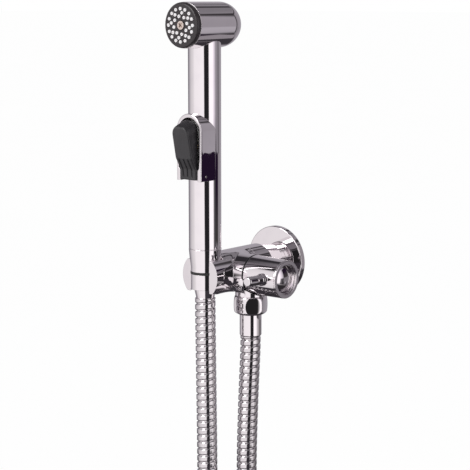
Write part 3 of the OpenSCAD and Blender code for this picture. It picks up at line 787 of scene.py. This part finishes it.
def metal_hose(width, pitch, depth):
    """A tube whose radius follows a wound strip: at each point the phase is the run over the pitch less the angle
    over a full turn, and the radius drops by the depth in the narrow groove where the phase passes a whole number."""
    flat, run = smooth_route(HOSE_ROUTE, 0.46)
    line = np.stack([
        HOSE_MIDDLE[0] + flat[:, 0] * HOSE_DIRECTION[0], HOSE_MIDDLE[1] + flat[:, 0] * HOSE_DIRECTION[1], flat[:, 1]
    ], -1)
    ahead = np.gradient(line, axis=0)
    ahead[0] = ahead[1] * 0 + (0, 0, -1)
    ahead[-1] = (0, 0, 1)
    ahead /= np.linalg.norm(ahead, axis=1)[:, None]
    side = np.array([HOSE_DIRECTION[1], -HOSE_DIRECTION[0], 0.0])
    other = np.cross(ahead, side)
    around = 40
    angle = np.arange(around) * 2 * np.pi / around
    phase = (run[:, None] / pitch - angle[None] / (2 * np.pi)) % 1.0
    away = np.minimum(phase, 1 - phase)
    groove = np.exp(-((away / 0.125) ** 4))
    crown = -0.22 * np.abs(2 * phase - 1) ** 5
    radius = width / 2 - depth * groove + crown * (1 - groove)
    points = line[:, None] + radius[..., None] * (
        np.cos(angle)[None, :, None] * side + np.sin(angle)[None, :, None] * other[:, None])
    cap_one = np.repeat(line[:1, None], around, axis=1)
    cap_two = np.repeat(line[-1:, None], around, axis=1)
    points = np.concatenate([cap_one, points, cap_two])
    # the cells deepest in the groove take the black second material: painted shade in the gaps between turns
    deep_painted_shade = np.zeros((len(points) - 1, around), bool)
    deep_painted_shade[1:-1] = (groove[:-1] + groove[1:] + np.roll(groove[:-1] + groove[1:], -1, axis=1)) > 2.4
    piece = grid_piece("metal_hose", points, sharp=60.0, second=deep_painted_shade)
    return piece, line, float(run[-1])


# Property groups, operators and panel


class BidetSizes(bpy.types.PropertyGroup):
    """Sizes of the dressed surfaces."""

    lever_width: bpy.props.FloatProperty(
        name="Paddle width", description="Width of the trigger paddle, in millimetres", default=16.3, min=12.0,
        max=16.6)
    lever_groove: bpy.props.FloatProperty(
        name="Paddle grooves", description="Depth of the three grooves in the paddle, in millimetres", default=0.9,
        min=0.0, max=1.2)
    housing_round: bpy.props.FloatProperty(
        name="Housing edge", description="Radius of the housing's outer front edge, in millimetres", default=0.9,
        min=0.2, max=1.2)
    rim_round: bpy.props.FloatProperty(
        name="Knob rim", description="Radius of the edges of the knob's rim, in millimetres", default=0.45,
        min=0.1, max=0.8)
    body_fillet: bpy.props.FloatProperty(
        name="Body fillet", description="Size of the rounded change between barrel, boss and body, in millimetres",
        default=2.4, min=0.5, max=4.0)
    nut_flats: bpy.props.FloatProperty(
        name="Nut across flats", description="Width of the hexagon nut across its flats, in millimetres",
        default=23.8, min=22.0, max=24.0)

    hose_pitch: bpy.props.FloatProperty(
        name="Hose pitch", description="Distance between two turns of the wound strip, in millimetres",
        default=5.5, min=3.0, max=8.0)
    hose_depth: bpy.props.FloatProperty(
        name="Hose groove", description="Depth of the groove between two turns, in millimetres",
        default=1.2, min=0.3, max=1.8)
    hose_width: bpy.props.FloatProperty(
        name="Hose width", description="Outer diameter of the metal hose, in millimetres",
        default=15.8, min=12.0, max=18.0)


class BIDET_OT_hose(bpy.types.Operator):
    """Builds the wound metal hose along its hanging loop"""

    bl_idname = "bidet.hose"
    bl_label = "Metal hose"

    def execute(self, context):
        sizes = context.scene.bidet_sizes
        piece, line, length = metal_hose(sizes.hose_width, sizes.hose_pitch, sizes.hose_depth)
        dress(piece, "hose", "fixed", "hose_chrome")
        # second material: black painted shade in the hose's grooves
        piece.data.materials.append(finish_named("black_trim", MAKERS["black_trim"]))
        return {"FINISHED"}


class BIDET_OT_trigger(bpy.types.Operator):
    """Builds the arched housing and the trigger paddle"""

    bl_idname = "bidet.trigger"
    bl_label = "Trigger"

    def execute(self, context):
        sizes = context.scene.bidet_sizes
        points = housing_shape(12.25, 10.15, sizes.housing_round, 0.5)
        piece = dress(grid_piece("arched_housing", points), "trigger_housing", "fixed", "polished_chrome")
        # the inside of the arch gets a black second material as painted shade
        paint_arch_shade(piece)
        spring = dress(
            grid_piece("return_spring", spring_shape(-102.63, -96.92, 3.2, 0.25, 3)), "plunger_spring", None, "steel")
        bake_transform(spring)
        pin = fillet([(0, -12.45), (1.1, -12.3), (1.1, 12.3), (0, 12.45)], [0.3, 0.3])
        turned_piece("trigger_pin", pin, "x", (0, -100.2, 77.7), slot="steel", around=32)
        points = lever_shape(sizes.lever_width, sizes.lever_groove)
        dress(grid_piece("trigger_paddle", points, sharp=50.0), "trigger_lever", "trigger", "black_trigger")
        return {"FINISHED"}


class BIDET_OT_knob(bpy.types.Operator):
    """Builds the knob with its rim, dish, peg, black ring and mark"""

    bl_idname = "bidet.knob"
    bl_label = "Knob"

    def execute(self, context):
        rim = context.scene.bidet_sizes.rim_round
        at = (0, KNOB_Y, 0)
        shell = fillet(
            [(0, 44.75), (10.55, 44.75), (10.55, 56.55), (11.45, 56.55), (11.45, 58.15), (14.2, 58.15), (14.45, 57.9),
             (14.45, 57.25), (14.1, 57.2), (14.1, 56.7), (14.55, 56.65), (15.1, 27.15), (12.65, 27.15),
             (12.65, 39.75), (0, 39.75)],
            [0.3, 0.1, 0.15, rim, rim * 0.8, 0.2, 0.1, 0.1, 0.1, 0.15, 0.35, 0.2, 0.3])
        turned_piece("knob", shell, "x", at, around=192)
        r = np.linspace(0, 9.9, 26)
        crown = np.stack([r, 39.2 + np.sqrt(18.0**2 - r**2)], -1)
        cap = np.concatenate([crown, fillet([(9.9, 54.2), (10.5, 54.1), (10.5, 52.55), (0, 52.55)], [0.2, 0.2])])
        turned_piece("knob_cap", cap, "x", at, around=160)
        peg = fillet(
            [(0, 13.9), (4.7, 13.9), (4.7, 16.6), (4.0, 17.5), (3.8, 17.9), (3.8, 31.6), (3.1, 32.5), (0, 32.5)],
            [0.2, 0.45, 0.3, 0.2, 0.9, 0.7])
        turned_piece("knob_peg", peg, "peg", (46.2, KNOB_Y, 0), around=96)
        ring = fillet([(11, 25.85), (15.16, 25.85), (15.16, 27.05), (11, 27.05)], [0.1, 0.1])
        turned_piece("knob_ring", ring, "x", at, slot="black_trim", around=160, closed=True)
        points = mark_shape(51.35, 55.05, 1.6, 0.04)
        dress(grid_piece("knob_triangle", points), "knob_mark", "turning", "black_trim")
        return {"FINISHED"}


class BIDET_OT_body(bpy.types.Operator):
    """Builds the valve body with its ears, barrel and boss, and the handset's collar"""

    bl_idname = "bidet.body"
    bl_label = "Valve body"

    def execute(self, context):
        round_in = context.scene.bidet_sizes.body_fillet
        trunk = fillet(
            [(0, -74.5), (BODY_R, -74.5), (BODY_R, -26.0), (14.3, -11.0), (13.5, -10.2), (12.0, -10.2), (12.0, -1.0),
             (10.48, -1.0), (10.48, 12.0), (7.0, 12.0), (7.0, -40.0), (0, -40.0)],
            [0.4, 2.0, 0.8, 0.5, 0.4, 0.05, 0.1, 0.5, 0.2, 0.1])
        shells = [
            grid_piece("trunk", turned(trunk, "y", around=224)), grid_piece("barrel", barrel_shape(round_in)),
            grid_piece("boss", boss_shape(12.0, round_in)), grid_piece("ears", holder_shape())]
        dress(joined("valve_body", shells), "stop_body", "fixed", "polished_chrome")
        collar = fillet(
            [(6, -5), (9.9, -5), (9.9, 3.6), (11.2, 3.6), (11.2, 6.6), (12.5, 20.7), (12.5, 21.0), (12.0, 21.15),
             (12.0, 21.6), (10.35, 21.6), (10.35, 30.6), (6, 30.6)],
            [0.2, 0.1, 0.2, 2.0, 0.3, 0.1, 0.05, 0.05, 0.05, 0.05])
        turned_piece("handle_collar", collar, "z", (0, HANDSET_Y, 0), around=128, closed=True)
        return {"FINISHED"}


class BIDET_OT_nut(bpy.types.Operator):
    """Builds the hexagon nut at the outlet"""

    bl_idname = "bidet.nut"
    bl_label = "Hexagon nut"

    def execute(self, context):
        points = hex_nut_shape(context.scene.bidet_sizes.nut_flats, -31.1, -16.7, 8.2)
        dress(grid_piece("hexagon_nut", points, close_rows=True), "hex_nut", "fixed", "polished_chrome")
        return {"FINISHED"}


class BIDET_OT_finishes(bpy.types.Operator):
    """Gives every node of the source its finish"""

    bl_idname = "bidet.finishes"
    bl_label = "Finishes"

    def execute(self, context):
        for part in frame["record"]["subparts"]:
            node = nodes[part["node"]]
            slot = part["material_slot"]
            if part["node"] == "face_screw":
                slot = "screw_steel"
            node.data.materials.clear()
            node.data.materials.append(finish_named(slot, MAKERS[slot]))
        return {"FINISHED"}


class BIDET_OT_camera(bpy.types.Operator):
    """Places the camera at the viewing angle of the photograph"""

    bl_idname = "bidet.camera"
    bl_label = "Camera"

    def execute(self, context):
        data = bpy.data.cameras.new("Camera")
        data.sensor_width = 36.0
        data.sensor_fit = "HORIZONTAL"
        data.lens = 1393.0 / 470.0 * 36.0
        data.clip_start = 0.01
        data.clip_end = 1000.0
        camera = bpy.data.objects.new("Camera", data)
        context.scene.collection.objects.link(camera)
        side, pitch = math.radians(41.0), math.radians(9.65)
        look = Vector((-math.sin(side) * math.cos(pitch), math.cos(side) * math.cos(pitch), -math.sin(pitch)))
        camera.location = Vector((0.030, -0.0878, 0.0345)) - look * 1.0416
        camera.rotation_mode = "QUATERNION"
        camera.rotation_quaternion = look.to_track_quat("-Z", "Y")
        context.scene.camera = camera
        return {"FINISHED"}


def surround_shape(centre, reach, ground):
    """Points of a room round the object in metres: each direction of longitude and latitude from the centre, as far
    as the reach, and no lower than the ground."""
    turn = np.linspace(0, 2 * np.pi, 96, endpoint=False)[None, :]
    lift = np.linspace(-np.pi / 2, np.pi / 2, 73)[:, None]
    way = np.stack([np.cos(lift) * np.cos(turn), np.cos(lift) * np.sin(turn), np.sin(lift) + 0 * turn], -1)
    down = np.maximum(-way[..., 2], 1e-6)
    far = np.minimum(reach, (centre[2] - ground) / down)
    return np.array(centre) + way * far[..., None]


def hidden_stage(piece, material):
    """A stage piece that only polished surfaces see."""
    piece.data.materials.append(material)
    piece.visible_camera = False
    piece.visible_shadow = False
    piece.visible_diffuse = False


def dark_screen(side):
    """A dark cloth behind the right side of the object: a flat grid about its centre, square to the line of sight
    from the handle, that only polished surfaces see."""
    turn = math.radians(102)
    out = np.array([math.sin(side), -math.cos(side), 0.0])
    right = np.array([math.cos(side), math.sin(side), 0.0])
    way = math.cos(turn) * out + math.sin(turn) * right
    across = np.array([-way[1], way[0], 0.0])
    centre = np.array([0.012, -0.095, 0.0]) + way * 0.19 + across * 0.012
    u = np.linspace(-0.075, 0.075, 41)[None, :, None]
    top = 0.0745 + 0.0012 * np.sin(u * 210) + 0.0008 * np.sin(u * 700)
    z = -0.045 + np.linspace(0, 1, 9)[:, None, None] * (top + 0.045)
    points = centre + u * across + z * np.array([0, 0, 1.0])
    piece = grid_piece("dark_screen", points / MM, close_columns=False)
    material = bpy.data.materials.new("dark_screen")
    f = Finish(material)
    x, y, z = f.parts(f.place(at=tuple(centre)))
    aside = x * float(across[0]) + y * float(across[1])
    near = f.blend(z.between(0.0, 0.05), (0.05, 0.045, 0.047), (0.015, 0.007, 0.021))
    near = f.blend(z.between(-0.012, -0.004), (0.22, 0.205, 0.225), near)
    tone = f.blend(aside.between(0.004, 0.018), near, (0.30, 0.275, 0.30))
    f.end(f.node("ShaderNodeEmission", None, {"Color": tone, "Strength": 1.0}))
    hidden_stage(piece, material)


def pale_screen(side):
    """A pale cloth low on the right: an arc of a cylinder about the hose, from just below the valve down to the floor,
    fading away from the camera and when seen steeply from above, that only polished surfaces see."""
    out = np.array([math.sin(side), -math.cos(side), 0.0])
    right = np.array([math.cos(side), math.sin(side), 0.0])
    centre = (0.012, -0.095, 0.0)
    turn = np.radians(np.linspace(64, 130, 45))[None, :, None]
    z = np.linspace(-0.475, -0.068, 5)[:, None, None] * np.array([0, 0, 1.0])
    points = np.array(centre) + 0.18 * (np.cos(turn) * out + np.sin(turn) * right) + z
    piece = grid_piece("pale_screen", points / MM, close_columns=False)
    material = bpy.data.materials.new("pale_screen")
    f = Finish(material)
    x, y, z = f.parts(f.place(at=centre))
    turn = f.angle(x * math.sin(side) - y * math.cos(side), x * math.cos(side) + y * math.sin(side))
    near = f.blend(turn.between(68, 88), (1.1, 1.07, 1.09), (0.5, 0.47, 0.485))
    tone = f.blend(turn.between(88, 112), near, (0.16, 0.15, 0.155))
    weight = f.node("ShaderNodeLayerWeight", None, {"Blend": 0.5})
    steep = Term(f, weight.socket.node.outputs["Facing"])
    tone = f.blend(steep.between(0.06, 0.16), tone, (0.03, 0.027, 0.03))
    f.end(f.node("ShaderNodeEmission", None, {"Color": tone, "Strength": 1.0}))
    hidden_stage(piece, material)


def surround_finish(f, centre, side):
    """Cloths and windows as chrome sees them: brightness by the angle round the object, counted from the camera's
    side towards the right of the picture, and by height. A dark floor and ceiling close them."""
    x, y, z = f.parts(f.place(at=centre))
    out = x * math.sin(side) - y * math.cos(side)
    right = x * math.cos(side) + y * math.sin(side)
    level = (out * out + right * right) ** 0.5
    turn = f.angle(out, right)
    lift = f.angle(level, z)
    tones = [
        (-180, 0.40), (-160, 0.30), (-148, 0.15), (-129, 0.44), (-108, 0.70), (-86, 0.82), (-72, 1.0), (-4, 1.05),
        (0, 0.018), (30, 0.018), (34, 1.2), (63, 1.2), (66, 0.17), (75, 0.13), (80, 0.03), (87, 0.05), (95, 0.3), (98, 0.46),
        (104, 0.42), (109, 0.03), (111, 0.03), (114, 0.25), (124, 0.27), (140, 0.36), (160, 0.40), (180, 0.40)]
    tint = [(0.965, 0.985) if tone > 0.6 else (0.94, 1.03) for turn_at, tone in tones]
    stops = [((turn_at + 180) / 360, (tone, tone * green, tone * blue)) for (turn_at, tone), (green, blue) in
             zip(tones, tint)]
    band = f.node("ShaderNodeValToRGB", {"stops": stops}, {"Fac": turn / 360 + 0.5})
    front = turn.between(-122, -108) * (1 - turn.between(-8, 0))
    bars = (x / (abs(z) + 0.01))
    bar = (1 - abs(bars - 0.8).between(0.05, 0.16)) + (1 - abs(bars + 0.17).between(0.04, 0.12))
    bar = bar + (1 - abs(bars + 0.86).between(0.05, 0.14))
    roof = f.blend(bar, (0.22, 0.205, 0.225), (0.03, 0.027, 0.032))
    ground = (0.045, 0.04, 0.048)
    upper = [
        (60, 1.15), (68, 0.95), (76, 0.66), (82, 0.42), (90, 0.28), (97, 0.34), (104, 0.36), (109, 0.04), (111, 0.04), (115, 0.28), (126, 0.34), (140, 0.36)]
    stops = [((turn_at + 180) / 360, (tone, tone * 0.93, tone * 1.02)) for turn_at, tone in upper]
    soft = f.node("ShaderNodeValToRGB", {"stops": stops}, {"Fac": turn / 360 + 0.5})
    high = lift.between(-7, -3) * turn.between(61, 65) * (1 - turn.between(130, 140))
    band = f.blend(high, band, soft)
    walls = f.blend(lift.between(33, 42), band, roof)
    line = lift.between(31, 33) * (1 - lift.between(35, 37)) * turn.between(60, 75)
    walls = f.blend(line, walls, (0.05, 0.045, 0.05))
    above = front * lift.between(-46, -42) + (1 - front) * lift.between(-31, -20)
    colour = f.blend(above, ground, walls)
    f.end(f.node("ShaderNodeEmission", None, {"Color": colour, "Strength": 1.0}))


class BIDET_OT_stage(bpy.types.Operator):
    """Builds the pale floor, the studio cards, the lamps and the world"""

    bl_idname = "bidet.stage"
    bl_label = "Stage"

    def execute(self, context):
        scene = context.scene
        scene.view_settings.view_transform = "Standard"
        low, high = cad_box
        ground = low.z - 0.003
        mesh = bpy.data.meshes.new("floor")
        s = 60.0
        mesh.from_pydata([(-s, -s, ground), (s, -s, ground), (s, s, ground), (-s, s, ground)], [], [(0, 1, 2, 3)])
        floor = bpy.data.objects.new("floor", mesh)
        scene.collection.objects.link(floor)
        material = bpy.data.materials.new("pale_floor")
        f = Finish(material)
        ray = f.node("ShaderNodeLightPath")
        outputs = ray.socket.node.outputs
        seen = Term(f, outputs["Is Camera Ray"]) + Term(f, outputs["Is Glossy Ray"]) * 1.0
        seen = seen + Term(f, outputs["Is Transmission Ray"])
        plain = f.node("ShaderNodeBsdfDiffuse", None, {"Color": (0.82, 0.82, 0.82, 1)})
        glow = f.node("ShaderNodeEmission", None, {"Color": (1, 1, 1, 1), "Strength": 1.0})
        grain = f.noise(f.place(), 3.0, 2.0) * 0.02
        share = f.node("ShaderNodeMath", {"operation": "MINIMUM"}, {0: seen * (0.955 + grain), 1: 1.0})
        f.end(f.node("ShaderNodeMixShader", None, {0: share, 1: plain, 2: glow}))
        mesh.materials.append(material)

        world = bpy.data.worlds.new("studio")
        scene.world = world
        w = Finish(world)
        ray = w.node("ShaderNodeLightPath")
        outputs = ray.socket.node.outputs
        seen = Term(w, outputs["Is Camera Ray"]) + Term(w, outputs["Is Glossy Ray"])
        seen = seen + Term(w, outputs["Is Transmission Ray"])
        share = w.node("ShaderNodeMath", {"operation": "MINIMUM"}, {0: seen, 1: 1.0})
        plain = w.node("ShaderNodeBackground", None, {"Color": (0.95, 0.95, 0.97, 1), "Strength": 0.85})
        white = w.node("ShaderNodeBackground", None, {"Color": (1, 1, 1, 1), "Strength": 1.0})
        w.end(w.node("ShaderNodeMixShader", None, {0: share, 1: plain, 2: white}))

        lamp = bpy.data.lights.new("key", "AREA")
        lamp.shape = "RECTANGLE"
        lamp.size, lamp.size_y = 1.2, 1.2
        lamp.energy = 16.0
        key = bpy.data.objects.new("key", lamp)
        scene.collection.objects.link(key)
        key.location = (-0.5, -1.7, 1.2)
        key.rotation_mode = "QUATERNION"
        key.rotation_quaternion = (Vector(key.location) - Vector((0, -0.08, 0.05))).to_track_quat("Z", "Y")

        centre = (0.03, -0.088, 0.0345)
        points = surround_shape(centre, 4.0, ground + 0.002)
        piece = grid_piece("studio_surround", points / MM)
        material = bpy.data.materials.new("studio_surround")
        surround_finish(Finish(material), centre, math.radians(41.0))
        hidden_stage(piece, material)
        dark_screen(math.radians(41.0))
        pale_screen(math.radians(41.0))
        return {"FINISHED"}


class BIDET_PT_panel(bpy.types.Panel):
    """Lists the operators that build the pieces"""

    bl_idname = "BIDET_PT_panel"
    bl_label = "Bidet shower"
    bl_space_type = "VIEW_3D"
    bl_region_type = "UI"
    bl_category = "Bidet shower"

    def draw(self, context):
        layout = self.layout
        for operator in OPERATORS:
            layout.operator(operator.bl_idname)


OPERATORS = (
    BIDET_OT_camera, BIDET_OT_hose, BIDET_OT_trigger, BIDET_OT_knob, BIDET_OT_body, BIDET_OT_nut, BIDET_OT_finishes,
    BIDET_OT_stage)
GROUPS = (BidetSizes,)


def register():
    for kind in (*GROUPS, *OPERATORS, BIDET_PT_panel):
        bpy.utils.register_class(kind)
    bpy.types.Scene.bidet_sizes = bpy.props.PointerProperty(type=BidetSizes)


def unregister():
    del bpy.types.Scene.bidet_sizes
    for kind in (BIDET_PT_panel, *OPERATORS[::-1], *GROUPS[::-1]):
        bpy.utils.unregister_class(kind)


def main():
    register()
    bpy.ops.bidet.camera()
    bpy.ops.bidet.hose()
    bpy.ops.bidet.trigger()
    bpy.ops.bidet.knob()
    bpy.ops.bidet.body()
    bpy.ops.bidet.nut()
    bpy.ops.bidet.finishes()
    bpy.ops.bidet.stage()


if __name__ == "__main__":
    main()
